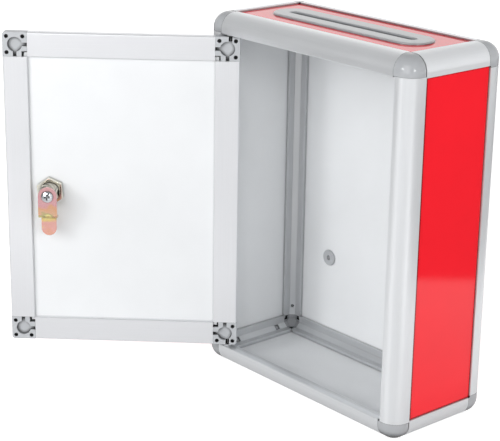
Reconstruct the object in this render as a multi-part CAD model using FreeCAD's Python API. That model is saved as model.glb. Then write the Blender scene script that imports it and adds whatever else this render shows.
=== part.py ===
import FreeCAD
import Part
import math
import os

# Donation box: rounded aluminium rails, moulded corner connectors, slotted-in panels, a money slot in the
# top and a left-hinged front door with a cam lock. The door stands open, as it is kept for emptying.
# Millimetres. The origin is the middle of the box's footprint, on the surface that it stands on.
# +X points right seen from the front, +Y to the back and +Z up.

# Box
box_width = 257.0
box_depth = 115.0
box_height = 340.0

# Rails round the box
rail_leg = 18.5  # width of each outer face
rail_land = 4.2  # flat strip beside the rounded corner
rail_wall = 9.5  # from an outer face to the inner face behind it
rail_lip = 1.4  # lip over the outside of a panel
rail_inner_overhang = 1.5  # the inner flange reaches this much past the outer lip
rail_inner_flat = 6.3  # flat part of the inner flange, beside the chamfer
rail_slot_depth = 6.0
rail_edge_round = 1.0  # edge beside the door
rail_bore_radius = 2.75
rail_seam = 0.2  # gap between a rail's end and the connector
side_rail_gap = 0.8  # extra gap at the front ends of the side rails

# Corner connectors of the box
front_connector_height = 17.3  # the front posts reach nearer to the corner than the other rails
front_connector_depth = 17.6  # so do the front ends of the side rails
spigot_length = 20.0
spigot_play = 0.1  # radial
facet_setback = 3.5  # the flat inner face meets the chamfers this far inside the connector
flange_gap = 4.0  # square gap where the inner flanges of two rails would meet
snap_window = 5.2  # square window in the side rails
snap_window_place = 11.5  # from the rail's end
snap_hole_diameter = 3.2  # round hole in the posts
snap_hole_place = 29.7  # from the end of the box's height
snap_play = 0.9  # all round a snap in its hole
snap_depth = 1.0  # a snap stops this much below the rail's face

# Panels
panel_thickness = 4.5
panel_play = 0.1  # each side of the panel in its slot
panel_end_play = 0.3  # between the panel's edge and the slot's floor

# Slot collar
slot_length = 156.0
slot_width = 8.0
slot_lip_round = 0.9
collar_length = 186.0
collar_width = 38.0
collar_height = 1.8  # above the panel
collar_round = 1.2
collar_neck_wall = 5.0  # between the slot and the outside of the neck
collar_neck_below = 2.0  # the neck reaches this far below the panel
collar_neck_play = 0.2

# Wall grommets
grommet_spacing = 142.0
grommet_height = 93.0
grommet_flange_diameter = 15.5
grommet_flange_thickness = 1.6
grommet_flange_round = 0.6
grommet_neck_diameter = 9.0
grommet_hole_diameter = 5.0
grommet_play = 0.1

# Door
door_open_angle = 133.0
door_hinge_gap = 1.3
door_free_gap = 2.4
door_bottom_gap = 2.6  # with the flange of the bush that carries the door
door_top_gap = 1.0
door_setback = 0.4
door_thickness = 9.0
door_member = 22.5  # width of the stiles and rails
door_panel_thickness = 3.0
door_edge_round = 1.5
door_inner_chamfer = 0.6
door_groove_depth = 3.8
door_channel_width = 8.0  # hollow of a stile or rail, for the connector's tongue
door_channel_height = 4.0
door_channel_place = 4.0  # from the outer edge
door_seam = 0.15
door_tongue_length = 14.0
door_tongue_play = 0.1

# Corner connectors of the door
pocket_diameter = 13.6
pocket_depth = 3.2
blind_hole_diameter = 3.8
blind_hole_depth = 4.6
blind_hole_inset = 3.8  # from the connector's edges
notch_size = 5.0
connector_channel_width = 3.3
connector_corner_round = 2.5

# Hinge
pin_from_edge = 8.7
pin_from_face = 3.8  # behind the door's outer face
pin_diameter = 3.0
pin_in_bush = 5.0
pin_in_door = 4.6
pin_seat_play = 0.02
hinge_play = 0.05  # radial, pin in bush
bush_diameter = 5.0
bush_depth = 6.0
bush_flange_diameter = 7.0
bush_flange_clearance = 0.5  # between the flange and the door
bush_seat_play = 0.02

# Lock
lock_from_edge = 40.6
lock_barrel_diameter = 18.0
lock_barrel_flats = 16.0
lock_barrel_length = 19.0  # behind the panel
lock_thread_pitch = 1.25
lock_thread_depth = 0.5
lock_head_diameter = 22.0
lock_head_thickness = 2.2
lock_head_round = 0.8
lock_panel_play = 0.1
nut_flats = 23.0
nut_thickness = 6.5
nut_bevel = 1.2
nut_turn = -6.0
nut_play = 0.05
plug_diameter = 12.0
plug_play = 0.05
plug_square = 7.0
keyway_length = 7.5
keyway_width = 1.5
keyway_depth = 7.0

# Cam and its screw
cam_thickness = 2.2
cam_width = 17.4
cam_tip_width = 14.0
cam_reach = 39.5
cam_crank_start = 19.0
cam_crank = 6.5
cam_bend = 1.0  # radius inside each bend
cam_gap = 0.4  # behind the barrel
cam_square_play = 0.05
screw_head_diameter = 10.6
screw_rim = 0.9
screw_dome = 2.0
screw_shank_diameter = 4.0
screw_shank_length = 10.0
screw_shank_play = 0.05
screw_hole_extra = 0.5  # below the tip of the cam's or keeper's screw
cross_length = 5.6
cross_width = 1.5
cross_depth = 1.7

# Latch keeper
keeper_thickness = 1.2
keeper_height = 30.0
keeper_overhang = 1.0  # past the edge of the door opening
keeper_chamfer_gap = 0.2  # from the chamfer inside the post
keeper_flange = 11.0
keeper_cam_gap = 0.5
keeper_screw_spacing = 18.0
keeper_screw_diameter = 2.0
keeper_screw_head_diameter = 3.8
keeper_screw_head_height = 1.3
keeper_screw_length = 5.0
keeper_screw_play = 0.05

# Derived sizes of the rails
rail_round = rail_leg - rail_land
rail_inner_leg = rail_leg + rail_inner_overhang
rail_slot_floor = rail_leg - rail_slot_depth
rail_slot_back = rail_lip + panel_thickness + 2 * panel_play
rail_chamfer = rail_inner_leg - rail_inner_flat
rail_round_middle = rail_round * (1 - math.sqrt(0.5))
rail_chamfer_middle = (rail_wall + rail_chamfer) / 2
rail_bore_place = (rail_round_middle + rail_chamfer_middle) / 2
rail_bore_cover = (rail_chamfer_middle - rail_bore_place) * math.sqrt(2)
connector_size = rail_inner_leg
rail_trim = connector_size + rail_seam
front_post_trim = front_connector_height + rail_seam
side_rail_start = front_connector_depth + rail_seam + side_rail_gap
snap_reach = rail_bore_cover - snap_depth

# Derived sizes of the panels
panel_face = rail_lip + panel_play  # outer face, from the box's outer face
panel_inner_face = panel_face + panel_thickness
panel_edge = rail_slot_floor + panel_end_play

# Sides of the box and of the door opening
box_left = -box_width / 2
box_right = box_width / 2
box_front = -box_depth / 2
box_back = box_depth / 2
opening_right = box_right - rail_leg

# Door when closed
door_left = box_left + rail_leg + door_hinge_gap
door_right = opening_right - door_free_gap
door_bottom = rail_leg + door_bottom_gap
door_top = box_height - rail_leg - door_top_gap
door_middle_x = (door_left + door_right) / 2
door_middle_z = (door_bottom + door_top) / 2
door_width = door_right - door_left
door_height = door_top - door_bottom
door_front = box_front + door_setback
door_back = door_front + door_thickness
door_panel_front = door_front + (door_thickness - door_panel_thickness) / 2
door_panel_back = door_panel_front + door_panel_thickness
groove_front = door_panel_front - panel_play
groove_back = door_panel_back + panel_play
pivot_x = door_left + pin_from_edge
pivot_y = door_front + pin_from_face

# Lock when the door is closed
lock_x = door_right - lock_from_edge
lock_z = door_middle_z
barrel_end = door_panel_back + lock_barrel_length
cam_front = barrel_end + cam_gap
cam_back = cam_front + cam_thickness
cam_tip_front = cam_front - cam_crank

# Latch keeper
keeper_edge = opening_right - keeper_overhang
keeper_base = keeper_overhang + rail_leg - rail_chamfer - keeper_chamfer_gap
keeper_screw_x = keeper_edge + (keeper_thickness + keeper_base) / 2

# Directions
RIGHT = FreeCAD.Vector(1, 0, 0)
BACK = FreeCAD.Vector(0, 1, 0)
UP = FreeCAD.Vector(0, 0, 1)


def point(x, y, z):
    return FreeCAD.Vector(x, y, z)


def block(x_range, y_range, z_range):
    """Box between two limits along each axis."""
    size = [high - low for low, high in (x_range, y_range, z_range)]
    return Part.makeBox(*size, point(x_range[0], y_range[0], z_range[0]))


def flip_right(shape):
    """Mirror image on the other side of the box."""
    return shape.mirror(point(0, 0, 0), RIGHT)


def flip_up(shape):
    """Mirror image at the other end of the box's height."""
    return shape.mirror(point(0, 0, box_height / 2), UP)


def flip_back(shape):
    """Mirror image at the back of the box."""
    return shape.mirror(point(0, 0, 0), BACK)


def swing_open(shape):
    """A piece of the door, modelled closed, turned about the hinge to where the door stands."""
    return shape.rotated(point(pivot_x, pivot_y, 0), UP, -door_open_angle)


class RunFrame:
    """Where a drawn section lies: u and v go inwards from its outer corner, run goes along the piece."""

    def __init__(self, corner, u_axis, v_axis, run_axis):
        self.corner = corner
        self.u_axis = u_axis
        self.v_axis = v_axis
        self.run_axis = run_axis

    def at(self, u, v, run=0.0):
        return self.corner + self.u_axis * u + self.v_axis * v + self.run_axis * run

    def inward(self):
        """Direction from the outer corner to the inside of the box."""
        return (self.u_axis + self.v_axis).normalize()

    def face(self, start, steps):
        """Face inside an outline: a step with one point is a straight side, with two points an arc."""
        edges = []
        here = start
        for step in steps:
            if len(step) == 1:
                edges.append(Part.makeLine(self.at(*here), self.at(*step[0])))
            else:
                edges.append(Part.Arc(self.at(*here), self.at(*step[0]), self.at(*step[1])).toShape())
            here = step[-1]
        return Part.Face(Part.Wire(edges))


# Rails round the box


def round_and_slot_steps():
    """Outline round the outer corner and down the slotted leg, to the inner chamfer."""
    return [
        ((rail_round, 0),),
        ((rail_round_middle, rail_round_middle), (0, rail_round)),
        ((0, rail_leg),),
        ((rail_lip, rail_leg),),
        ((rail_lip, rail_slot_floor),),
        ((rail_slot_back, rail_slot_floor),),
        ((rail_slot_back, rail_inner_leg),),
        ((rail_wall, rail_inner_leg),),
        ((rail_wall, rail_chamfer),),
        ((rail_chamfer, rail_wall),),
    ]


def panel_section(frame):
    """Section with a panel slot in both legs."""
    second_slot = [
        ((rail_inner_leg, rail_wall),),
        ((rail_inner_leg, rail_slot_back),),
        ((rail_slot_floor, rail_slot_back),),
        ((rail_slot_floor, rail_lip),),
        ((rail_leg, rail_lip),),
        ((rail_leg, 0),),
    ]
    return frame.face((rail_leg, 0), round_and_slot_steps() + second_slot)


def doorway_section(frame):
    """Section whose u leg ends in a plain edge beside the door."""
    edge_middle = rail_edge_round * (1 - math.sqrt(0.5))
    plain_edge = [
        ((rail_leg, rail_wall),),
        ((rail_leg, rail_edge_round),),
        ((rail_leg - edge_middle, edge_middle), (rail_leg - rail_edge_round, 0)),
    ]
    return frame.face((rail_leg - rail_edge_round, 0), round_and_slot_steps() + plain_edge)


def square_snap(frame, run, side, reach):
    """Square peg from the middle of the bore towards the inside of the box."""
    inward = frame.inward()
    across = (frame.u_axis - frame.v_axis).normalize()
    corner = frame.at(rail_bore_place, rail_bore_place, run - side / 2) - across * (side / 2)
    far = corner + across * side
    along = frame.run_axis * side
    wire = Part.makePolygon([corner, far, far + along, corner + along, corner])
    return Part.Face(wire).extrude(inward * reach)


def round_snap(frame, run, diameter, reach):
    """Round peg from the middle of the bore towards the inside of the box."""
    start = frame.at(rail_bore_place, rail_bore_place, run)
    return Part.makeCylinder(diameter / 2, reach, start, frame.inward())


def rail(frame, section, length):
    """Extruded rail with its bore."""
    solid = section(frame).extrude(frame.run_axis * length)
    bore_start = frame.at(rail_bore_place, rail_bore_place)
    return solid.cut(Part.makeCylinder(rail_bore_radius, length, bore_start, frame.run_axis))


def post(corner, inward, section, trim):
    """Upright rail over a lower corner of the box, with a round snap hole near each end."""
    frame = RunFrame(corner + UP * trim, RIGHT, inward, UP)
    length = box_height - 2 * trim
    runs = (snap_hole_place - trim, length - snap_hole_place + trim)
    holes = [round_snap(frame, run, snap_hole_diameter, rail_leg) for run in runs]
    return rail(frame, section, length).cut(holes)


def bush_seat(play):
    """Hole for the lower hinge bush, from the edge of the bottom front rail downwards."""
    base = point(pivot_x, pivot_y, rail_leg - bush_depth)
    return Part.makeCylinder(bush_diameter / 2 + play, bush_depth, base)


def front_post():
    """Left front post."""
    return post(point(box_left, box_front, 0), BACK, doorway_section, front_post_trim)


def rear_post():
    """Left rear post."""
    return post(point(box_left, box_back, 0), -BACK, panel_section, rail_trim)


def front_rail():
    """Bottom front rail, with the seat of the hinge bush."""
    frame = RunFrame(point(box_left + rail_trim, box_front, 0), UP, BACK, RIGHT)
    solid = rail(frame, doorway_section, box_width - 2 * rail_trim)
    return solid.cut(bush_seat(bush_seat_play))


def rear_rail():
    """Bottom rear rail."""
    frame = RunFrame(point(box_left + rail_trim, box_back, 0), UP, -BACK, RIGHT)
    return rail(frame, panel_section, box_width - 2 * rail_trim)


def side_rail():
    """Left bottom rail, from front to back, with a square snap window near each end. Its inner flange is cut
    back at the front, where the flange of the post stands."""
    frame = RunFrame(point(box_left, box_front + side_rail_start, 0), RIGHT, UP, BACK)
    length = box_depth - side_rail_start - rail_trim
    runs = (rail_trim + snap_window_place - side_rail_start, length - snap_window_place)
    windows = [square_snap(frame, run, snap_window, rail_leg) for run in runs]
    notch = block(
        (box_left + rail_slot_back, box_left + rail_wall),
        (box_front, box_front + rail_trim),
        (front_connector_height, front_connector_height + rail_inner_leg),
    )
    return rail(frame, panel_section, length).cut(windows + [notch])


# Corner connectors of the box


def connector_cavity():
    """Inside of a connector: a cube whose edges and corner are cut off as the rails' chamfers are."""
    deep = (rail_wall, connector_size + 1)
    cavity = block(deep, deep, deep)
    for first, second, run in ((RIGHT, BACK, UP), (BACK, UP, RIGHT), (UP, RIGHT, BACK)):
        frame = RunFrame(point(0, 0, 0), first, second, run)
        corner = (rail_wall, rail_wall)
        wedge = frame.face(corner, [((rail_chamfer, rail_wall),), ((rail_wall, rail_chamfer),), (corner,)])
        cavity = cavity.cut(wedge.extrude(run * (connector_size + 1)))
    return cavity.cut(facet_cutter())


def facet_cutter():
    """Everything nearer the outer corner than the flat three-sided face inside a connector."""
    size = 4 * connector_size
    reach = rail_wall + rail_chamfer + connector_size - facet_setback
    slab = Part.makeBox(size, size, size, point(-size / 2, -size / 2, -size))
    slab.Placement = FreeCAD.Placement(
        point(reach / 3, reach / 3, reach / 3), FreeCAD.Rotation(UP, point(1, 1, 1))
    ).multiply(slab.Placement)
    return slab


def corner_room(across, start, depth):
    """Room at a connector's inner edges for a panel or the door, which is square to the axis across."""
    ranges = [(start, connector_size)] * 3
    ranges[across] = depth
    return block(*ranges)


def spigot(frame, face):
    """Round spigot, from a little inside the connector's face into a rail's bore."""
    start = frame.at(rail_bore_place, rail_bore_place, face - rail_lip)
    radius = rail_bore_radius - spigot_play
    return Part.makeCylinder(radius, spigot_length + rail_lip, start, frame.run_axis)


def corner_connector(panel_axes, depth, height):
    """Connector whose outer corner is at the origin and whose spigots point along +X, +Y and +Z."""
    body = Part.makeBox(connector_size, connector_size, connector_size)
    origin = point(0, 0, 0)
    corner_edges = []
    for edge in body.Edges:
        if any(vertex.Point.isEqual(origin, 1e-6) for vertex in edge.Vertexes):
            corner_edges.append(edge)
    body = body.makeFillet(rail_round, corner_edges)
    full = (0, connector_size)
    beyond_depth = block(full, (depth, connector_size + 1), full)
    beyond_height = block(full, full, (height, connector_size + 1))
    cutters = [connector_cavity(), beyond_depth, beyond_height]
    for axis in range(3):
        if axis in panel_axes:
            cutters.append(corner_room(axis, rail_slot_floor, (rail_lip, rail_slot_back)))
            cutters.append(corner_room(axis, rail_leg, (0, rail_lip)))
            cutters.append(corner_room(axis, connector_size - flange_gap, (rail_slot_back, rail_wall)))
        else:
            cutters.append(corner_room(axis, rail_leg, (0, rail_wall)))
    across = RunFrame(origin, BACK, UP, RIGHT)
    upward = RunFrame(origin, RIGHT, BACK, UP)
    backward = RunFrame(origin, RIGHT, UP, BACK)
    post_peg = snap_hole_diameter - 2 * snap_play
    side_peg = snap_window - 2 * snap_play
    pegs = [
        round_snap(upward, snap_hole_place, post_peg, snap_reach),
        square_snap(backward, rail_trim + snap_window_place, side_peg, snap_reach),
    ]
    spigots = [spigot(across, connector_size), spigot(upward, height), spigot(backward, depth)]
    return body.cut(cutters).fuse(spigots + pegs)


def front_connector():
    """Left bottom front connector: it holds the side and bottom panels."""
    connector = corner_connector((0, 2), front_connector_depth, front_connector_height)
    return connector.translated(point(box_left, box_front, 0))


def rear_connector():
    """Left bottom rear connector: it holds the side, back and bottom panels."""
    connector = corner_connector((0, 1, 2), connector_size, connector_size)
    return flip_back(connector.translated(point(box_left, box_front, 0)))


# Panels


def side_panel():
    """Left panel."""
    x_range = (box_left + panel_face, box_left + panel_inner_face)
    y_range = (box_front + panel_edge, box_back - panel_edge)
    return block(x_range, y_range, (panel_edge, box_height - panel_edge))


def flat_panel(z_range):
    """Panel that lies level."""
    x_range = (box_left + panel_edge, box_right - panel_edge)
    return block(x_range, (box_front + panel_edge, box_back - panel_edge), z_range)


def bottom_panel():
    return flat_panel((panel_face, panel_inner_face))


def stadium(length, width, bottom, height):
    """Upright solid with straight sides and half-round ends, over the middle of the box."""
    half = (length - width) / 2
    radius = width / 2
    frame = RunFrame(point(0, 0, bottom), RIGHT, BACK, UP)
    steps = [
        ((half, -radius),),
        ((half + radius, 0), (half, radius)),
        ((-half, radius),),
        ((-half - radius, 0), (-half, -radius)),
    ]
    return frame.face((-half, -radius), steps).extrude(UP * height)


def collar_neck(play):
    """Part of the slot collar that goes through the top panel."""
    grow = 2 * (collar_neck_wall + play)
    height = panel_thickness + collar_neck_below
    return stadium(slot_length + grow, slot_width + grow, box_height - panel_face - height, height)


def top_panel():
    sheet = flat_panel((box_height - panel_inner_face, box_height - panel_face))
    return sheet.cut(collar_neck(collar_neck_play))


def grommet_axis_solids(diameter, y_range):
    """Cylinders on the axes of both wall grommets."""
    length = y_range[1] - y_range[0]
    bases = [point(side * grommet_spacing / 2, y_range[0], grommet_height) for side in (-1, 1)]
    return [Part.makeCylinder(diameter / 2, length, base, BACK) for base in bases]


def back_panel():
    y_range = (box_back - panel_inner_face, box_back - panel_face)
    x_range = (box_left + panel_edge, box_right - panel_edge)
    sheet = block(x_range, y_range, (panel_edge, box_height - panel_edge))
    return sheet.cut(grommet_axis_solids(grommet_neck_diameter + 2 * grommet_play, y_range))


def wall_grommets():
    """Two flanged grommets, pushed into the back panel from inside."""
    inner_face = box_back - panel_inner_face
    outer_face = box_back - panel_face
    flange_range = (inner_face - grommet_flange_thickness, inner_face)
    flanges = grommet_axis_solids(grommet_flange_diameter, flange_range)
    necks = grommet_axis_solids(grommet_neck_diameter, (inner_face, outer_face))
    holes = grommet_axis_solids(grommet_hole_diameter, (flange_range[0], outer_face))
    solids = []
    for flange, neck, hole in zip(flanges, necks, holes):
        rim = [edge for edge in flange.Edges if edge.Closed and edge.CenterOfMass.y < inner_face - 0.1]
        solids.append(flange.makeFillet(grommet_flange_round, rim).fuse(neck).cut(hole))
    return Part.makeCompound(solids)


def edges_at_height(shape, height, keep):
    """Level edges of a shape at one height whose middle point passes the test."""
    found = []
    for edge in shape.Edges:
        box = edge.BoundBox
        if abs(box.ZMin - height) < 1e-6 and abs(box.ZMax - height) < 1e-6 and keep(edge.CenterOfMass):
            found.append(edge)
    return found


def slot_collar():
    """Raised collar round the money slot, with a neck through the top panel."""
    base = box_height - panel_face
    top = base + collar_height
    flange = stadium(collar_length, collar_width, base, collar_height)
    flange = flange.makeFillet(collar_round, edges_at_height(flange, top, lambda middle: True))
    collar = flange.fuse(collar_neck(0))
    slot_bottom = base - panel_thickness - collar_neck_below
    collar = collar.cut(stadium(slot_length, slot_width, slot_bottom, top - slot_bottom))
    reach_x = (slot_length + collar_neck_wall) / 2
    reach_y = (slot_width + collar_neck_wall) / 2
    mouth = edges_at_height(collar, top, lambda m: abs(m.x) < reach_x and abs(m.y) < reach_y)
    return collar.makeFillet(slot_lip_round, mouth)


# Door frame and panel, modelled closed


def door_member_section(frame):
    """Section of a stile or rail: u from the outer edge inwards, v from the front to the back."""
    round_middle = door_edge_round * (1 - math.sqrt(0.5))
    thick = door_thickness
    groove_floor = door_member - door_groove_depth
    slot_low = groove_front - door_front
    slot_high = groove_back - door_front
    steps = [
        ((door_member - door_inner_chamfer, 0),),
        ((door_member, door_inner_chamfer),),
        ((door_member, slot_low),),
        ((groove_floor, slot_low),),
        ((groove_floor, slot_high),),
        ((door_member, slot_high),),
        ((door_member, thick - door_inner_chamfer),),
        ((door_member - door_inner_chamfer, thick),),
        ((door_edge_round, thick),),
        ((round_middle, thick - round_middle), (0, thick - door_edge_round)),
        ((0, door_edge_round),),
        ((round_middle, round_middle), (door_edge_round, 0)),
    ]
    return frame.face((door_edge_round, 0), steps)


def door_channel(frame, start, length, play):
    """Hollow of a stile or rail, or with play taken off the tongue that fills it."""
    low_v = (door_thickness - door_channel_height) / 2 + play
    high_v = door_thickness - low_v
    low_u = door_channel_place + play
    high_u = door_channel_place + door_channel_width - play
    corners = [(low_u, low_v), (high_u, low_v), (high_u, high_v), (low_u, high_v), (low_u, low_v)]
    wire = Part.makePolygon([frame.at(u, v, start) for u, v in corners])
    return Part.Face(wire).extrude(frame.run_axis * length)


def hinge_edge_frame(run):
    """Frame of the hinge stile: u from the hinge edge, run upwards from the door's bottom."""
    return RunFrame(point(door_left, door_front, door_bottom + run), RIGHT, BACK, UP)


def bottom_edge_frame(run):
    """Frame of the bottom door rail: u up from the bottom edge, run from the hinge edge to the right."""
    return RunFrame(point(door_left + run, door_front, door_bottom), UP, BACK, RIGHT)


def door_member_solid(frame, length):
    solid = door_member_section(frame).extrude(frame.run_axis * length)
    return solid.cut(door_channel(frame, 0, length, 0))


def hinge_stile():
    trim = door_member + door_seam
    return door_member_solid(hinge_edge_frame(trim), door_height - 2 * trim)


def bottom_door_rail():
    trim = door_member + door_seam
    return door_member_solid(bottom_edge_frame(trim), door_width - 2 * trim)


def door_panel():
    """Door panel with a hole, flat on two sides, for the lock."""
    inset = door_member - door_groove_depth + panel_end_play
    x_range = (door_left + inset, door_right - inset)
    z_range = (door_bottom + inset, door_top - inset)
    sheet = block(x_range, (door_panel_front, door_panel_back), z_range)
    return sheet.cut(lock_barrel_blank(lock_panel_play, door_panel_front, door_panel_back))


# Corner connectors of the door, modelled closed


def connector_drill(u, w, diameter, depth):
    """Blind hole in a door connector's back, u from the hinge edge and w up from the bottom edge."""
    base = point(door_left + u, door_back - depth, door_bottom + w)
    return Part.makeCylinder(diameter / 2, depth, base, BACK)


def connector_groove(u_range, w_range, depth):
    """Straight channel in a door connector's back."""
    x_range = (door_left + u_range[0], door_left + u_range[1])
    z_range = (door_bottom + w_range[0], door_bottom + w_range[1])
    return block(x_range, (door_back - depth, door_back), z_range)


def door_connector_blank():
    """Bottom connector on the hinge side: a rounded block with tongues into the stile and the rail."""
    x_range = (door_left, door_left + door_member)
    z_range = (door_bottom, door_bottom + door_member)
    body = block(x_range, (door_front, door_back), z_range)
    outer_corner = [
        edge
        for edge in body.Edges
        if abs(edge.CenterOfMass.x - door_left) < 1e-6 and abs(edge.CenterOfMass.z - door_bottom) < 1e-6
    ]
    body = body.makeFillet(connector_corner_round, outer_corner)
    overlap = door_tongue_play + door_seam
    length = door_tongue_length + overlap
    tongues = [
        door_channel(hinge_edge_frame(door_member - overlap), 0, length, door_tongue_play),
        door_channel(bottom_edge_frame(door_member - overlap), 0, length, door_tongue_play),
    ]
    return body.fuse(tongues)


def door_connector():
    """Bottom connector on the hinge side, without its hinge pin seat."""
    middle = door_member / 2
    near = blind_hole_inset
    far = door_member - blind_hole_inset
    half_channel = connector_channel_width / 2
    channel = (middle - half_channel, middle + half_channel)
    groove_floor = door_member - door_groove_depth
    panel_corner = block(
        (door_left + groove_floor, door_left + door_member),
        (groove_front, groove_back),
        (door_bottom + groove_floor, door_bottom + door_member),
    )
    notch_start = door_member - notch_size
    cutters = [
        panel_corner,
        connector_groove((notch_start, door_member), (notch_start, door_member), door_back - groove_front),
        connector_drill(middle, middle, pocket_diameter, pocket_depth),
        connector_groove((middle, door_member), channel, pocket_depth),
        connector_groove(channel, (middle, door_member), pocket_depth),
    ]
    for u, w in ((near, near), (near, far), (far, near)):
        cutters.append(connector_drill(u, w, blind_hole_diameter, blind_hole_depth))
    return door_connector_blank().cut(cutters)


def hinge_pin(gap, play):
    """Lower hinge pin across a gap under the door, or with play its seat in the connector."""
    length = pin_in_bush + gap + pin_in_door
    base = point(pivot_x, pivot_y, door_bottom - gap - pin_in_bush)
    return Part.makeCylinder(pin_diameter / 2 + play, length, base)


def hinge_connector():
    """Bottom connector on the hinge side, with its pin seat open to the back."""
    half_channel = connector_channel_width / 2
    channel = (pin_from_edge - half_channel, pin_from_edge + half_channel)
    way_in = connector_groove(channel, (0, door_member / 2), pocket_depth)
    open_seat = connector_groove(channel, (0, pin_in_door), door_thickness - pin_from_face)
    return door_connector().cut([way_in, open_seat, hinge_pin(door_bottom_gap, pin_seat_play)])


def hinge_bush(gap):
    """Lower bush, pushed down into the bottom front rail, with a flange in the gap under the door."""
    seat = bush_seat(0)
    flange_base = point(pivot_x, pivot_y, rail_leg)
    flange = Part.makeCylinder(bush_flange_diameter / 2, gap - bush_flange_clearance, flange_base)
    bore = Part.makeCylinder(pin_diameter / 2 + hinge_play, box_height, point(pivot_x, pivot_y, 0))
    return seat.fuse(flange).cut(bore)


# Lock, modelled on the closed door


def on_lock_axis(diameter, y_range):
    """Cylinder on the lock's axis."""
    length = y_range[1] - y_range[0]
    return Part.makeCylinder(diameter / 2, length, point(lock_x, y_range[0], lock_z), BACK)


def lock_barrel_blank(play, y_start, y_end):
    """Barrel's outside without its thread, flat on two sides."""
    half_flat = lock_barrel_flats / 2 + play
    rod = on_lock_axis(lock_barrel_diameter + 2 * play, (y_start, y_end))
    reach = lock_barrel_diameter
    x_range = (lock_x - half_flat, lock_x + half_flat)
    return rod.common(block(x_range, (y_start, y_end), (lock_z - reach, lock_z + reach)))


def thread_grooves(y_start, y_end):
    """Ring-shaped grooves that stand for the thread, turned about the lock's axis."""
    crest = lock_barrel_diameter / 2
    rings = []
    count = int((y_end - y_start) / lock_thread_pitch)
    for turn in range(count):
        low = y_start + turn * lock_thread_pitch
        middle = low + lock_thread_pitch / 2
        high = low + lock_thread_pitch
        corners = [(crest, low), (crest - lock_thread_depth, middle), (crest, high), (crest, low)]
        wire = Part.makePolygon([point(lock_x + radius, y, lock_z) for radius, y in corners])
        rings.append(Part.Face(wire).revolve(point(lock_x, 0, lock_z), BACK, 360))
    return rings


def lock_barrel():
    """Barrel with its head in front of the panel."""
    head_front = door_panel_front - lock_head_thickness
    head = on_lock_axis(lock_head_diameter, (head_front, door_panel_front))
    rim = [edge for edge in head.Edges if edge.Closed and edge.CenterOfMass.y < door_panel_front - 0.1]
    head = head.makeFillet(lock_head_round, rim)
    barrel = lock_barrel_blank(0, door_panel_front, barrel_end)
    barrel = barrel.cut(thread_grooves(door_panel_back + lock_thread_pitch, barrel_end))
    bore = on_lock_axis(plug_diameter + 2 * plug_play, (head_front, barrel_end))
    return head.fuse(barrel).cut(bore)


def lock_nut():
    """Hexagon nut behind the panel, with bevelled corners."""
    start = door_panel_back
    end = start + nut_thickness
    corner_radius = nut_flats / 2 / math.cos(math.radians(30))
    corners = []
    for index in range(7):
        angle = math.radians(60 * index + 30 + nut_turn)
        across = corner_radius * math.cos(angle)
        height = corner_radius * math.sin(angle)
        corners.append(point(lock_x + across, start, lock_z + height))
    hexagon = Part.Face(Part.makePolygon(corners)).extrude(BACK * nut_thickness)
    cone_reach = corner_radius + nut_bevel
    cone_tip = nut_thickness + cone_reach
    cone = Part.makeCone(cone_tip, 0, cone_tip, point(lock_x, start, lock_z), BACK)
    return hexagon.common(cone).cut(on_lock_axis(lock_barrel_diameter + 2 * nut_play, (start, end)))


def lock_plug():
    """Plug that the key turns: keyway in front, square stub for the cam behind."""
    front = door_panel_front - lock_head_thickness
    plug = on_lock_axis(plug_diameter, (front, barrel_end))
    half = plug_square / 2
    stub = block((lock_x - half, lock_x + half), (barrel_end, cam_back), (lock_z - half, lock_z + half))
    keyway = block(
        (lock_x - keyway_width / 2, lock_x + keyway_width / 2),
        (front, front + keyway_depth),
        (lock_z - keyway_length / 2, lock_z + keyway_length / 2),
    )
    hole_bottom = cam_back - screw_shank_length - screw_hole_extra
    screw_hole = on_lock_axis(screw_shank_diameter + 2 * screw_shank_play, (hole_bottom, cam_back))
    return plug.fuse(stub).cut([keyway, screw_hole])


def cam_plan():
    """Outline of the cam seen along the lock's axis, tip down, as a tall solid."""
    depth = (cam_tip_front, cam_back)
    crank_end = cam_crank_start + cam_thickness
    half_tip = cam_tip_width / 2
    tip_centre = cam_reach - half_tip
    round_head = on_lock_axis(cam_width, depth)
    shank = block((lock_x - cam_width / 2, lock_x + cam_width / 2), depth, (lock_z - crank_end, lock_z))
    tip = block((lock_x - half_tip, lock_x + half_tip), depth, (lock_z - tip_centre, lock_z - crank_end))
    tip_base = point(lock_x, depth[0], lock_z - tip_centre)
    tip_round = Part.makeCylinder(half_tip, depth[1] - depth[0], tip_base, BACK)
    return round_head.fuse([shank, tip, tip_round])


def lock_cam():
    """Flat strip with one rounded crank that brings its tip nearer to the door."""
    crank_end = cam_crank_start + cam_thickness
    tip_back = cam_tip_front + cam_thickness
    side = [
        (cam_front, cam_width),
        (cam_front, -cam_crank_start),
        (cam_tip_front, -cam_crank_start),
        (cam_tip_front, -cam_reach),
        (tip_back, -cam_reach),
        (tip_back, -crank_end),
        (cam_back, -crank_end),
        (cam_back, cam_width),
        (cam_front, cam_width),
    ]
    wire = Part.makePolygon([point(lock_x - cam_width, y, lock_z + z) for y, z in side])
    strip = Part.Face(wire).extrude(RIGHT * (2 * cam_width))
    inner_bends = [(cam_front, -cam_crank_start), (tip_back, -crank_end)]
    outer_bends = [(cam_tip_front, -cam_crank_start), (cam_back, -crank_end)]
    for bends, radius in ((inner_bends, cam_bend), (outer_bends, cam_bend + cam_thickness)):
        middles = [point(lock_x, y, lock_z + z) for y, z in bends]
        edges = [edge for edge in strip.Edges if any(edge.CenterOfMass.isEqual(m, 1e-6) for m in middles)]
        strip = strip.makeFillet(radius, edges)
    half = plug_square / 2 + cam_square_play
    square = block((lock_x - half, lock_x + half), (cam_front, cam_back), (lock_z - half, lock_z + half))
    return strip.common(cam_plan()).cut(square).removeSplitter()


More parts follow.
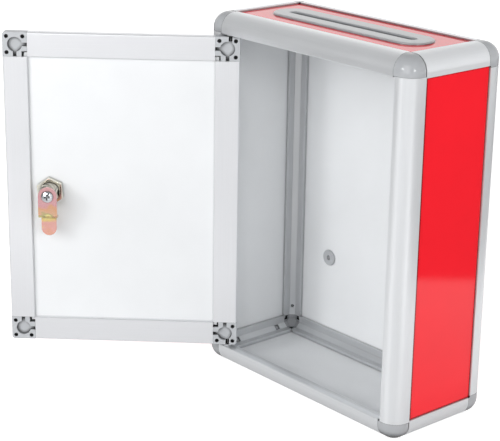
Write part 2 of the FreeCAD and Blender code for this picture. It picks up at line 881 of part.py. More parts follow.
def cam_screw():
    """Screw with a domed washer head and a cross recess."""
    radius = screw_head_diameter / 2
    top = cam_back + screw_rim + screw_dome
    dome_radius = (radius**2 + screw_dome**2) / (2 * screw_dome)
    ball = Part.makeSphere(dome_radius, point(lock_x, top - dome_radius, lock_z))
    head = on_lock_axis(screw_head_diameter, (cam_back, top + screw_rim)).common(ball)
    shank = on_lock_axis(screw_shank_diameter, (cam_back - screw_shank_length, cam_back))
    long_half = cross_length / 2
    thin_half = cross_width / 2
    recess = []
    for half_x, half_z in ((long_half, thin_half), (thin_half, long_half)):
        x_range = (lock_x - half_x, lock_x + half_x)
        z_range = (lock_z - half_z, lock_z + half_z)
        recess.append(block(x_range, (top - cross_depth, top + screw_rim), z_range))
    return head.fuse(shank).cut(recess)


# Latch keeper on the right front post


def keeper_screw_places():
    """Points on the post's inner face where the keeper's screws go in."""
    y = box_front + rail_wall
    return [point(keeper_screw_x, y, lock_z + side * keeper_screw_spacing / 2) for side in (-1, 1)]


def keeper_screw_holes(length, play):
    """Cylinders on the keeper screws' axes, forwards from the post's inner face."""
    radius = keeper_screw_diameter / 2 + play
    return [Part.makeCylinder(radius, length, place, -BACK) for place in keeper_screw_places()]


def latch_keeper():
    """Bent strip: base on the post, web to the back, flange behind which the cam's tip turns."""
    post_face = box_front + rail_wall
    flange_back = cam_tip_front - keeper_cam_gap
    edge = keeper_edge
    z_range = (lock_z - keeper_height / 2, lock_z + keeper_height / 2)
    base = block((edge, edge + keeper_base), (post_face, post_face + keeper_thickness), z_range)
    web = block((edge, edge + keeper_thickness), (post_face, flange_back), z_range)
    flange_range = (edge - keeper_flange, edge + keeper_thickness)
    flange = block(flange_range, (flange_back - keeper_thickness, flange_back), z_range)
    clearance = [
        Part.makeCylinder(keeper_screw_diameter / 2 + keeper_screw_play, keeper_thickness, place, BACK)
        for place in keeper_screw_places()
    ]
    return base.fuse([web, flange]).removeSplitter().cut(clearance)


def keeper_screws():
    """Two screws through the keeper's base into the post."""
    solids = []
    for place in keeper_screw_places():
        under_head = place + BACK * keeper_thickness
        head = Part.makeCylinder(keeper_screw_head_diameter / 2, keeper_screw_head_height, under_head, BACK)
        length = keeper_screw_length + keeper_thickness
        shank = Part.makeCylinder(keeper_screw_diameter / 2, length, under_head, -BACK)
        solids.append(head.fuse(shank))
    return Part.makeCompound(solids)


def right_front_post():
    """Right front post, with the holes for the keeper's screws."""
    depth = keeper_screw_length + screw_hole_extra
    return flip_right(front_post()).cut(keeper_screw_holes(depth, keeper_screw_play))


# Assembly


def as_made(shape):
    """The piece itself, where its mirror image has a flip."""
    return shape


def flip_door_across(shape):
    """Mirror image on the closed door's other side."""
    return shape.mirror(point(door_middle_x, 0, 0), RIGHT)


def flip_door_up(shape):
    """Mirror image at the other end of the door's height."""
    return shape.mirror(point(0, 0, door_middle_z), UP)


def case_pieces():
    """Every piece that stays still, by name."""
    pieces = {
        "left_front_post": front_post(),
        "right_front_post": right_front_post(),
        "left_rear_post": rear_post(),
        "right_rear_post": flip_right(rear_post()),
        "left_panel": side_panel(),
        "right_panel": flip_right(side_panel()),
        "back_panel": back_panel(),
        "bottom_panel": bottom_panel(),
        "top_panel": top_panel(),
        "slot_collar": slot_collar(),
        "wall_grommets": wall_grommets(),
        "latch_keeper": latch_keeper(),
        "keeper_screws": keeper_screws(),
    }
    for level, to_level, gap in (("bottom", as_made, door_bottom_gap), ("top", flip_up, door_top_gap)):
        pieces[f"{level}_front_rail"] = to_level(front_rail())
        pieces[f"{level}_rear_rail"] = to_level(rear_rail())
        pieces[f"{level}_hinge_bush"] = to_level(hinge_bush(gap))
        for side, to_side in (("left", as_made), ("right", flip_right)):
            pieces[f"{level}_{side}_rail"] = to_side(to_level(side_rail()))
            pieces[f"{level}_{side}_front_corner"] = to_side(to_level(front_connector()))
            pieces[f"{level}_{side}_rear_corner"] = to_side(to_level(rear_connector()))
    return pieces


def door_pieces():
    """Every piece that swings with the door, closed, by name."""
    pieces = {
        "hinge_stile": hinge_stile(),
        "lock_stile": flip_door_across(hinge_stile()),
        "door_panel": door_panel(),
        "lock_barrel": lock_barrel(),
        "lock_nut": lock_nut(),
        "lock_plug": lock_plug(),
        "lock_cam": lock_cam(),
        "cam_screw": cam_screw(),
    }
    for level, to_level, gap in (("bottom", as_made, door_bottom_gap), ("top", flip_door_up, door_top_gap)):
        pieces[f"door_{level}_rail"] = to_level(bottom_door_rail())
        pieces[f"door_{level}_hinge_corner"] = to_level(hinge_connector())
        pieces[f"door_{level}_lock_corner"] = to_level(flip_door_across(door_connector()))
        pieces[f"{level}_hinge_pin"] = to_level(hinge_pin(gap, 0))
    return pieces


def main():
    os.makedirs("parts", exist_ok=True)
    pieces = case_pieces()
    pieces.update({name: swing_open(shape) for name, shape in door_pieces().items()})
    for name, shape in pieces.items():
        shape.exportStep(f"parts/{name}.step")
        print(f"{name}: {len(shape.Solids)} solid, {shape.Volume / 1000:.2f} cm3, valid {shape.isValid()}")


main()
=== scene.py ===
# %% [markdown]
# A donation box with its door open
#
# The real box is a cage of rounded aluminium rails, joined at the corners by moulded plastic balls. Boards
# slide into slots in the rails: gloss red outside, white inside. A door of flatter aluminium bars hangs on
# the left and carries a cam lock. The solids of all these pieces arrive ready made, so this lesson gives
# them their finishes, rebuilds the one piece that needs finer detail, the threaded barrel of the lock, and
# sets up the camera and the light.

# %% Load the solids
import math

import bpy
import numpy as np
from mathutils import Matrix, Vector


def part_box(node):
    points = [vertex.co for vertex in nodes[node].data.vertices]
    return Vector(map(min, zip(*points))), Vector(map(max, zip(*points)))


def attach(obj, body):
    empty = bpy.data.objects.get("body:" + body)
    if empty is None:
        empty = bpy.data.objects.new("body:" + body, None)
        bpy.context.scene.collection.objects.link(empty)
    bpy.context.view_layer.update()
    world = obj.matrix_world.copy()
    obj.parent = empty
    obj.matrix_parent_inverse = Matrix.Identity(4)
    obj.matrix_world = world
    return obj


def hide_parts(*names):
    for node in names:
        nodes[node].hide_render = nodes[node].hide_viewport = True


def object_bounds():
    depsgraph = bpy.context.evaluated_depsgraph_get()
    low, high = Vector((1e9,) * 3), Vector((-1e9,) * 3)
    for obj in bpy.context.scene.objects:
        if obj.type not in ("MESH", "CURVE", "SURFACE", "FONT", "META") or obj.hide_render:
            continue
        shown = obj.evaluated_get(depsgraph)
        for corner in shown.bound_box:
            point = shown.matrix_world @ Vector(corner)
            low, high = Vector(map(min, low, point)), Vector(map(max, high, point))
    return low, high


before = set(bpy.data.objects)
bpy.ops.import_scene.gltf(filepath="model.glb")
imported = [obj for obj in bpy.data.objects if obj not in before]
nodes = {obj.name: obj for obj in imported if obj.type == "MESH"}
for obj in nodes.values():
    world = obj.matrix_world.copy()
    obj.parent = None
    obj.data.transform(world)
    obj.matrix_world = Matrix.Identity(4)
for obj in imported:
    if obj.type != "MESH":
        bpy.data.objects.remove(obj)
solid_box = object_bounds()
print("solids:", len(nodes), "in", [[round(value, 4) for value in corner] for corner in solid_box])

# %% [markdown]
# The camera stands to the right of the box and a little above it. Its place and lens were worked out from
# the outline and the straight edges of the box, so a point of the model lands on the pixel where the real
# point is. Euler angles could set its direction, but three axes built from two angles and a small roll are
# easier to read, and the lamps can use the same function.

# %% Camera
# The place is in metres, the lens and the sensor in millimetres.
VIEW_AZIMUTH = math.radians(49.16)
VIEW_ELEVATION = math.radians(18.24)
VIEW_ROLL = math.radians(0.89)
VIEW_PLACE = (0.9645, -0.9472, 0.6032)
VIEW_LENS = 112.22
VIEW_SENSOR = 36.0


def looking_axes(azimuth, elevation, roll):
    """Right, up and back axes: back points away from the object, and roll turns the other two about it."""
    back = np.array(
        [
            math.sin(azimuth) * math.cos(elevation),
            -math.cos(azimuth) * math.cos(elevation),
            math.sin(elevation),
        ]
    )
    right = np.array([math.cos(azimuth), math.sin(azimuth), 0.0])
    up = np.cross(back, right)
    rolled_right = math.cos(roll) * right + math.sin(roll) * up
    rolled_up = -math.sin(roll) * right + math.cos(roll) * up
    return rolled_right, rolled_up, back


def looking_from(place, axes):
    """Matrix of a camera or a lamp at a place, with its right, up and back axes."""
    return Matrix.Translation(place) @ Matrix(np.array(axes).T.tolist()).to_4x4()


view_axes = looking_axes(VIEW_AZIMUTH, VIEW_ELEVATION, VIEW_ROLL)
camera_data = bpy.data.cameras.new("camera")
camera_data.sensor_width = VIEW_SENSOR
camera_data.lens = VIEW_LENS
camera = bpy.data.objects.new("camera", camera_data)
camera.matrix_world = looking_from(VIEW_PLACE, view_axes)
bpy.context.collection.objects.link(camera)
bpy.context.scene.camera = camera
bpy.context.scene.view_settings.view_transform = "Standard"
print("camera at", [round(value, 3) for value in camera.location], "lens", VIEW_LENS)

# %% [markdown]
# Materials are written as node trees. They could be drawn by hand in the shader editor, but code keeps
# every number in sight. A few helpers keep it short. One adds a node, sets its own options and fills or
# joins its inputs, and most of the others use it for the nodes that come up again and again. Two more
# start and place a node group, which is worth making for an effect that several finishes share.

# %% Node helpers
BACKWARDS = (0, 1, 0)
UP = (0, 0, 1)
NOISE_MIDDLE = 0.5
NOISE_SPREAD = (0.3, 0.7)


def put(tree, kind, options=None, inputs=None):
    """Add a node. Options are its own properties, and inputs map a socket's name or number to what it gets:
    a value, or another socket to join it to."""
    node = tree.nodes.new(kind)
    for key, value in (options or {}).items():
        setattr(node, key, value)
    for key, value in (inputs or {}).items():
        if isinstance(value, bpy.types.NodeSocket):
            tree.links.new(value, node.inputs[key])
        else:
            node.inputs[key].default_value = value
    return node


def start_group(name, inputs, outputs):
    """New shader group with its input and output nodes."""
    tree = bpy.data.node_groups.new(name, "ShaderNodeTree")
    for label, kind, value in inputs:
        tree.interface.new_socket(label, in_out="INPUT", socket_type=kind).default_value = value
    for label, kind in outputs:
        tree.interface.new_socket(label, in_out="OUTPUT", socket_type=kind)
    return tree, tree.nodes.new("NodeGroupInput").outputs, tree.nodes.new("NodeGroupOutput").inputs


def use_group(tree, group, inputs):
    """Outputs of a group that is placed in a material."""
    return put(tree, "ShaderNodeGroup", {"node_tree": group}, inputs).outputs


def math_node(tree, operation, *values):
    """Result of a sum, product or comparison of values or sockets."""
    return put(tree, "ShaderNodeMath", {"operation": operation}, dict(enumerate(values))).outputs[0]


def product(tree, first, *others):
    """Product of two or more values or sockets."""
    for other in others:
        first = math_node(tree, "MULTIPLY", first, other)
    return first


def vector_node(tree, operation, *vectors):
    """Outputs of a sum, product or measure of vectors or sockets."""
    return put(tree, "ShaderNodeVectorMath", {"operation": operation}, dict(enumerate(vectors))).outputs


def distance_along(tree, place, direction):
    """How far a place lies along a direction."""
    return vector_node(tree, "DOT_PRODUCT", place, direction)["Value"]


def remap(tree, value, low, high, to_low, to_high):
    """Value moved from one range to another and held inside it."""
    inputs = {"Value": value, "From Min": low, "From Max": high, "To Min": to_low, "To Max": to_high}
    return put(tree, "ShaderNodeMapRange", {"clamp": True}, inputs).outputs[0]


def mix_value(tree, share, first, second):
    """First value where the share is 0, second where it is 1: sockets 2 and 3 of a Mix node."""
    return put(tree, "ShaderNodeMix", None, {0: share, 2: first, 3: second}).outputs[0]


def mix_colour(tree, blend, share, first, second):
    """Mix of two colours or colour sockets: sockets 6 and 7 of a Mix node."""
    options = {"data_type": "RGBA", "blend_type": blend}
    return put(tree, "ShaderNodeMix", options, {0: share, 6: first, 7: second}).outputs[2]


def noise(tree, place, scale, detail=3.0, roughness=0.55):
    """Soft cloud pattern, mostly within the spread of noise."""
    inputs = {"Vector": place, "Scale": scale, "Detail": detail, "Roughness": roughness}
    return put(tree, "ShaderNodeTexNoise", None, inputs).outputs["Fac"]


print("node helpers ready, noise taken from", NOISE_SPREAD[0], "to", NOISE_SPREAD[1])

# %% [markdown]
# A bar that is pushed through a die carries very fine lines along its length. A Wave texture could draw
# them, but real lines have no even spacing, so they are noise on a place that is squeezed hard across the
# bar and hardly along it. All the aluminium finishes share them, so they are a node group that reads a
# place on the piece and gives out a shade for the colour and a height for the bump.

# %% Drawn lines
PLACE_INPUT = ("Place", "NodeSocketVector", (0, 0, 0))
SKIN_OUTPUTS = [("Shade", "NodeSocketFloat"), ("Height", "NodeSocketFloat")]


def swing_about_one(tree, pattern, depth):
    """Shade of 1 plus the depth times how far a pattern lies above the middle of noise."""
    above = math_node(tree, "SUBTRACT", pattern, NOISE_MIDDLE)
    return math_node(tree, "ADD", product(tree, above, depth), 1.0)


def make_drawn_lines():
    """Lines along a bar: noise on a place that is squeezed across the bar and stretched along it."""
    own_inputs = [("Squeeze", "NodeSocketVector", (1, 1, 1)), ("Depth", "NodeSocketFloat", 0.05)]
    tree, given, result = start_group("drawn_lines", [PLACE_INPUT, *own_inputs], SKIN_OUTPUTS)
    squeezed = vector_node(tree, "MULTIPLY", given["Place"], given["Squeeze"])["Vector"]
    lines = noise(tree, squeezed, scale=1.0, detail=4.0, roughness=0.65)
    tree.links.new(swing_about_one(tree, lines, given["Depth"]), result["Shade"])
    tree.links.new(lines, result["Height"])
    return tree


DRAWN_LINES = make_drawn_lines()
print("shared effect:", DRAWN_LINES.name)

# %% [markdown]
# Moulded plastic takes over the skin of its mould, fine even pebbles, and it never fills the mould quite
# evenly. Plating has such a skin too, only coarser. A Noise texture alone gives clouds and no pebbles, so
# smooth Voronoi cells give the height, and slow noise gives the uneven shade.

# %% Moulded skin
FILLING_SCALE = 60.0


def make_moulded_skin():
    """Pebbled skin of moulded plastic: cells for the pebbles and slow noise for uneven filling."""
    own_inputs = [("Pebbles", "NodeSocketFloat", 1500.0), ("Depth", "NodeSocketFloat", 0.05)]
    tree, given, result = start_group("moulded_skin", [PLACE_INPUT, *own_inputs], SKIN_OUTPUTS)
    cell_inputs = {"Vector": given["Place"], "Scale": given["Pebbles"]}
    cells = put(tree, "ShaderNodeTexVoronoi", {"feature": "SMOOTH_F1"}, cell_inputs)
    filling = noise(tree, given["Place"], FILLING_SCALE, detail=2.0)
    tree.links.new(swing_about_one(tree, filling, given["Depth"]), result["Shade"])
    tree.links.new(cells.outputs["Distance"], result["Height"])
    return tree


MOULDED_SKIN = make_moulded_skin()
print("shared effect:", MOULDED_SKIN.name)

# %% [markdown]
# Everything that hands touch gets faint smudges, which change the gloss more than the colour. They could
# be painted by hand on an image; noise needs none. Broad noise gives the clouds, and noise that is turned
# and squeezed gives a few thin rubs across them. The group gives out a roughness between two values.

# %% Smudges
CLOUD_SCALE = 18.0
CLOUD_LEVELS = (0.35, 0.7)
RUB_TURN = (0.5, 0.9, 0.3)
RUB_SQUEEZE = (900, 40, 60)
RUB_LEVELS = (0.62, 0.72)
RUB_WEIGHT = 0.5
GLOSS_OUTPUTS = [("Roughness", "NodeSocketFloat")]


def make_smudges():
    """Faint handling marks: the larger of broad soft clouds and weaker thin rubs, as a roughness."""
    own_inputs = [("Low", "NodeSocketFloat", 0.3), ("High", "NodeSocketFloat", 0.4)]
    tree, given, result = start_group("smudges", [PLACE_INPUT, *own_inputs], GLOSS_OUTPUTS)
    clouds = remap(tree, noise(tree, given["Place"], CLOUD_SCALE), *CLOUD_LEVELS, 0.0, 1.0)
    turned = {"Vector": given["Place"], "Rotation": RUB_TURN, "Scale": RUB_SQUEEZE}
    rub_place = put(tree, "ShaderNodeMapping", None, turned).outputs[0]
    rubs = remap(tree, noise(tree, rub_place, scale=1.0, detail=2.0), *RUB_LEVELS, 0.0, 1.0)
    marks = math_node(tree, "MAXIMUM", product(tree, rubs, RUB_WEIGHT), clouds)
    tree.links.new(mix_value(tree, marks, given["Low"], given["High"]), result["Roughness"])
    return tree


SMUDGES = make_smudges()


def smudged_gloss(tree, place, roughness):
    """Roughness that smudges move between a low and a high value."""
    low, high = roughness
    return use_group(tree, SMUDGES, {"Place": place, "Low": low, "High": high})["Roughness"]


print("shared effect:", SMUDGES.name)

# %% [markdown]
# Every finish starts the same way: an empty material with one Principled shader and a reading of the
# piece's own coordinates. The door stands turned about its hinge, so its pieces read their place through a
# Mapping node that turns the pattern back to the door's own width, thickness and height. Seams and holes
# on the real box are dark, because little light gets in. Light alone leaves them too pale, so a helper
# paints shade into the colour where an Ambient Occlusion node finds that surfaces close in.

# %% Starting a material
DOOR_ANGLE = math.radians(133.0)
HINGE_PLACE = (-0.1000, -0.0533, 0.0)
OPEN_SKY = 0.92


def start_finish(name, constants):
    """Material with a Principled shader whose constant inputs are set, and the place on the piece."""
    material = bpy.data.materials.new(name)
    material.use_nodes = True
    tree = material.node_tree
    tree.nodes.clear()
    shader = put(tree, "ShaderNodeBsdfPrincipled", None, constants)
    put(tree, "ShaderNodeOutputMaterial", None, {"Surface": shader.outputs[0]})
    place = put(tree, "ShaderNodeTexCoord").outputs["Object"]
    return material, tree, shader.inputs, place


def closed_place(tree, place):
    """Place on a door piece, turned about the hinge to where it is when the door is closed."""
    from_hinge = vector_node(tree, "SUBTRACT", place, HINGE_PLACE)["Vector"]
    inputs = {"Vector": from_hinge, "Rotation": (0, 0, DOOR_ANGLE)}
    turned = put(tree, "ShaderNodeMapping", None, inputs).outputs[0]
    return vector_node(tree, "ADD", turned, HINGE_PLACE)["Vector"]


def grey(value, tint=(1.0, 1.0, 1.0)):
    """Opaque colour of one value, with a slight tint."""
    return tuple(value * part for part in tint) + (1.0,)


def shade_into(tree, shade, colour, socket):
    """Colour times a shade, into a colour socket."""
    grey_shade = put(tree, "ShaderNodeCombineColor", None, {0: shade, 1: shade, 2: shade}).outputs[0]
    tree.links.new(mix_colour(tree, "MULTIPLY", 1.0, colour, grey_shade), socket)


def bump_into(tree, height, bump, socket):
    """Bump of a strength and a distance from a height, into a normal socket."""
    strength, distance = bump
    inputs = {"Height": height, "Strength": strength, "Distance": distance}
    tree.links.new(put(tree, "ShaderNodeBump", None, inputs).outputs[0], socket)


def painted_crevice_shade(tree, reach, closed, dark):
    """Painted shade: a colour factor that falls from 1 to dark where other surfaces close in within the
    reach, in seams and holes. Closed is the open share of the sky at which the painted shade is fully dark."""
    open_share = put(tree, "ShaderNodeAmbientOcclusion", None, {"Distance": reach}).outputs["AO"]
    return remap(tree, open_share, closed, OPEN_SKY, dark, 1.0)


def dress(names, material):
    """Give solids a finish."""
    for name in names:
        nodes[name].material_slots[0].material = material


print("door pattern turned by", round(math.degrees(DOOR_ANGLE)), "degrees")

# %% [markdown]
# The rails' inner faces get a painted shade, a darker colour than the outer ones, inside the case. The
# painted shade in their seams differs as well: the lips beside the side boards are pale to the edge, the
# seams inside the case are darker, and the lips round the top board end in a dark painted line. A rail's
# faces could each have a material, but its mesh is left alone, so one material tells them apart: the
# depth below the outer faces of the case tells inside from outside, and the height tells the top.

# %% Seams of the rails
# Depths are in metres. The value of a seam is its darkest painted shade.
CASE_CORNERS = ("bottom_left_front_corner", "top_right_rear_corner")
INNER_DEPTH = (0.0050, 0.0065)
INNER_SEAM_SHADE = 0.38
LIP_SEAM_SHADE = 0.70
TOP_SEAM_SHADE = 0.10
TOP_LIP = 0.0020


def case_depth(tree, place):
    """How far a place lies below the nearest outer face of the case: for each axis half the size less the
    distance from the middle, and the least of the three."""
    corners = [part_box(name) for name in CASE_CORNERS]
    parts = put(tree, "ShaderNodeSeparateXYZ", None, {0: place}).outputs
    depths = []
    for axis in range(3):
        lowest = min(low[axis] for low, high in corners)
        highest = max(high[axis] for low, high in corners)
        from_middle = math_node(tree, "SUBTRACT", parts[axis], (lowest + highest) / 2)
        off_middle = math_node(tree, "ABSOLUTE", from_middle)
        depths.append(math_node(tree, "SUBTRACT", (highest - lowest) / 2, off_middle))
    sideways, lengthways, upwards = depths
    return math_node(tree, "MINIMUM", math_node(tree, "MINIMUM", sideways, lengthways), upwards)


def inner_share(tree, place):
    """0 on a rail's outer faces, 1 on its inner ones."""
    return remap(tree, case_depth(tree, place), *INNER_DEPTH, 0.0, 1.0)


def painted_seam_shade(tree, place, inner):
    """Darkest painted shade of a rail's seams: darker inside and round the top board than along the other
    lips.
    """
    top_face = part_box("top_rear_rail")[1][2]
    on_top = math_node(tree, "GREATER_THAN", distance_along(tree, place, UP), top_face - TOP_LIP)
    by_depth = mix_value(tree, inner, LIP_SEAM_SHADE, INNER_SEAM_SHADE)
    by_height = mix_value(tree, on_top, 1.0, TOP_SEAM_SHADE)
    return math_node(tree, "MINIMUM", by_depth, by_height)


print("rail faces deeper than", INNER_DEPTH[1], "m count as inner faces")

# %% [markdown]
# The rails are satin anodised aluminium. Anodising keeps the fine drawing lines but softens the shine, and
# its clear layer scatters part of the light, so the finish is only partly metal, with medium roughness, a
# trace of lines along the bar and a few smudges. The cross rails mirror a little more than the posts and
# get a paler colour, painted light that matches their tone under these lamps; the door's bars are paler.
# Lines have to run along each bar, so there is one material for each kind of bar, from one function.

# %% Aluminium
# Lines are squeezed by times per metre. A bump is a strength and a height in metres.
LINES_ALONG = 12.0
LINES_ACROSS = 2600.0
LINE_DEPTH = 0.10
LINE_BUMP = (0.08, 0.00003)
BAR_ROUGHNESS = (0.30, 0.38)
# Painted shade in the seams and crevices of the bars, and on the rails' inner faces.
SEAM_REACH = 0.003
SEAM_CLOSED = 0.28
DOOR_SEAM_SHADE = 0.90
INNER_PAINTED_SHADE = 0.82


def squeeze_for(axis):
    """Squeeze that leaves a pattern long along one axis and fine across the others."""
    return tuple(LINES_ALONG if index == axis else LINES_ACROSS for index in range(3))


def satin_aluminium(name, colour, metal, axis, on_door):
    """Anodised bar: partly metal, shade and bump from drawn lines, painted shade inside and in seams,
    smudged roughness.
    """
    material, tree, shader, place = start_finish(name, {"Metallic": metal})
    spot = closed_place(tree, place) if on_door else place
    line_inputs = {"Place": spot, "Squeeze": squeeze_for(axis), "Depth": LINE_DEPTH}
    lines = use_group(tree, DRAWN_LINES, line_inputs)
    shade = lines["Shade"]
    dark = DOOR_SEAM_SHADE
    if not on_door:
        inner = inner_share(tree, place)
        # Painted shade: the rails' inner faces are darkened inside the case.
        shade = product(tree, shade, mix_value(tree, inner, 1.0, INNER_PAINTED_SHADE))
        dark = painted_seam_shade(tree, place, inner)
    # Painted shade in seams and crevices.
    shade = product(tree, shade, painted_crevice_shade(tree, SEAM_REACH, SEAM_CLOSED, dark))
    shade_into(tree, shade, colour, shader["Base Color"])
    tree.links.new(smudged_gloss(tree, spot, BAR_ROUGHNESS), shader["Roughness"])
    bump_into(tree, lines["Height"], LINE_BUMP, shader["Normal"])
    return material


print("lines squeezed to", squeeze_for(0), "on a bar across the front")

# %% [markdown]
# The bars are sorted by the way they run: across the front, from front to back, or upright. A table gives
# each sort its colour, its share of metal and the direction of its lines, and one loop makes and hands out
# the finishes.

# %% Bars
CASE_TINT = (0.98, 1.0, 1.025)
DOOR_TINT = (0.985, 0.995, 1.025)
RAIL_COLOUR = grey(0.765, CASE_TINT)
# Painted light: the cross rails' paler colour matches their tone under these lamps.
CROSS_RAIL_PAINTED_LIGHT_COLOUR = grey(0.79, CASE_TINT)
DOOR_BAR_COLOUR = grey(0.83, DOOR_TINT)
RAIL_METAL = 0.46
CROSS_RAIL_METAL = 0.62
DOOR_BAR_METAL = 0.50
SIDEWAYS, LENGTHWAYS, UPRIGHT = range(3)
LEVELS = ("bottom", "top")
SIDES = ("left", "right")
ENDS = ("front", "rear")
posts = [f"{side}_{end}_post" for side in SIDES for end in ENDS]
cross_rails = [f"{level}_{end}_rail" for level in LEVELS for end in ENDS]
side_rails = [f"{level}_{side}_rail" for level in LEVELS for side in SIDES]
door_rails = [f"door_{level}_rail" for level in LEVELS]
stiles = ["hinge_stile", "lock_stile"]
BAR_FINISHES = {
    "post_aluminium": (posts, RAIL_COLOUR, RAIL_METAL, UPRIGHT, False),
    "side_aluminium": (side_rails, RAIL_COLOUR, RAIL_METAL, LENGTHWAYS, False),
    "cross_aluminium": (cross_rails, CROSS_RAIL_PAINTED_LIGHT_COLOUR, CROSS_RAIL_METAL, SIDEWAYS, False),
    "stile_aluminium": (stiles, DOOR_BAR_COLOUR, DOOR_BAR_METAL, UPRIGHT, True),
    "door_rail_aluminium": (door_rails, DOOR_BAR_COLOUR, DOOR_BAR_METAL, SIDEWAYS, True),
}
for name, (bars, *finish) in BAR_FINISHES.items():
    dress(bars, satin_aluminium(name, *finish))
print("aluminium finishes:", list(BAR_FINISHES))

# %% [markdown]
# The corner balls, the slot collar and the small bushes are moulded in grey plastic with a fine pebbled
# skin and a soft gloss: the photograph shows small bright spots on the balls. The door's corner pieces are
# the same plastic in a paler batch. The money slot in the collar is so narrow that hardly any light
# returns from it. A dark plate under it would do the same; a painted shade that falls with the depth below
# the lip needs no further piece.

# %% Grey plastic
PLASTIC_PEBBLES = 2600.0
PLASTIC_DEPTH = 0.12
PLASTIC_BUMP = (0.12, 0.00008)
# Painted shade in the money slot: its half width, its fall below the lip and its darkest value.
SLOT_HALF_WIDTH = 0.0046
SLOT_FALL = (0.0007, 0.0022)
SLOT_SHADE = 0.35


def painted_slot_shade(tree, place):
    """Painted shade inside the money slot, which falls with the depth below the collar's rounded lip."""
    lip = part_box("slot_collar")[1][2]
    across = math_node(tree, "ABSOLUTE", distance_along(tree, place, BACKWARDS))
    in_slot = math_node(tree, "LESS_THAN", across, SLOT_HALF_WIDTH)
    depth = math_node(tree, "SUBTRACT", lip, distance_along(tree, place, UP))
    fall = remap(tree, depth, *SLOT_FALL, 0.0, 1.0 - SLOT_SHADE)
    return math_node(tree, "SUBTRACT", 1.0, product(tree, in_slot, fall))


def moulded_plastic(name, colour, roughness, reach, closed, dark=0.04, has_slot=False):
    """Moulded plastic: pebbled bump, uneven shade, painted shade in crevices within the reach, smudged
    gloss.
    """
    material, tree, shader, place = start_finish(name, {"Metallic": 0.0, "IOR": 1.5})
    skin_inputs = {"Place": place, "Pebbles": PLASTIC_PEBBLES, "Depth": PLASTIC_DEPTH}
    skin = use_group(tree, MOULDED_SKIN, skin_inputs)
    # Painted shade in crevices.
    shade = product(tree, skin["Shade"], painted_crevice_shade(tree, reach, closed, dark))
    if has_slot:
        shade = product(tree, shade, painted_slot_shade(tree, place))
    shade_into(tree, shade, colour, shader["Base Color"])
    tree.links.new(smudged_gloss(tree, place, roughness), shader["Roughness"])
    bump_into(tree, skin["Height"], PLASTIC_BUMP, shader["Normal"])
    return material


print("money slot darkened from", SLOT_FALL[0], "to", SLOT_FALL[1], "m below the lip")

# %% [markdown]
# The four batches differ in shade, in gloss and in how far the painted shade of a crevice reaches. The
# painted shade in the holes and pockets of the balls and of the door's corners is nearly black; in the
# seam round the collar and the holes of the grommets it is not.

# %% Plastic pieces
COOL = (0.97, 1.0, 1.04)
balls = [f"{level}_{side}_{end}_corner" for level in LEVELS for side in SIDES for end in ENDS]
bushes = ["wall_grommets", "bottom_hinge_bush", "top_hinge_bush"]
door_corners = [f"door_{level}_{side}_corner" for level in LEVELS for side in ("hinge", "lock")]
ball_plastic = moulded_plastic(
    "ball_plastic", grey(0.42, COOL), roughness=(0.08, 0.12), reach=0.012, closed=0.30
)
collar_plastic = moulded_plastic(
    "collar_plastic",
    grey(0.38, COOL),
    roughness=(0.10, 0.16),
    reach=0.002,
    closed=0.20,
    dark=0.30,
    has_slot=True,
)
bush_plastic = moulded_plastic(
    "bush_plastic", grey(0.46, COOL), roughness=(0.30, 0.40), reach=0.003, closed=0.20, dark=0.70
)
door_plastic = moulded_plastic(
    "door_plastic", grey(0.52, COOL), roughness=(0.32, 0.42), reach=0.004, closed=0.35
)
dress(balls, ball_plastic)
dress(["slot_collar"], collar_plastic)
dress(bushes, bush_plastic)
dress(door_corners, door_plastic)
print("plastic finishes:", ball_plastic.name, collar_plastic.name, bush_plastic.name, door_plastic.name)

# %% [markdown]
# Each board is one solid with a red film outside and a white face inside. The material decides which by
# measuring how far a point lies from the middle of the board's thickness, along the direction that the
# board faces. The film is glossy, with a very slight orange-peel ripple; the white face is a quieter
# satin. Painted shade at the borders draws a dark line round every red field, and beside the front posts'
# lips the side boards' film gets a painted reflection of the unlit back of the lip, as a dark line.

# %% Red and white boards
RED = (0.93, 0.007, 0.019, 1.0)
WHITE = (0.83, 0.845, 0.86, 1.0)
FADE_SCALE = 9.0
FADE = (0.97, 1.03)
FILM_ROUGHNESS = (0.04, 0.07)
SATIN_ROUGHNESS = (0.34, 0.42)
PEEL_SCALE = 260.0
PEEL_BUMP = (0.05, 0.0002)
# A border's painted shade is fully dark where no more than the closed share of the sky is open within the
# reach.
BORDER_REACH = 0.002
INSIDE_CLOSED = 0.62
INSIDE_PAINTED_SHADE = 0.80
BORDER_CLOSED = 0.70
BORDER_PAINTED_SHADE = 0.25
# Painted shade and reflection beside the front posts' lips: where the line starts, its fade and its darkest
# value.
LIP_BEFORE_FLANGE = 0.0015
LIP_LINE = (0.0024, 0.0036)
LIP_REFLECTION_SHADE = 0.25


def painted_lip_reflection(tree, place):
    """Painted shade and reflection of the film beside the front posts' lip, from the lip's edge towards the
    back.
    """
    lip_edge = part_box("right_front_post")[1][1] - LIP_BEFORE_FLANGE
    past_lip = math_node(tree, "SUBTRACT", distance_along(tree, place, BACKWARDS), lip_edge)
    return remap(tree, past_lip, *LIP_LINE, LIP_REFLECTION_SHADE, 1.0)


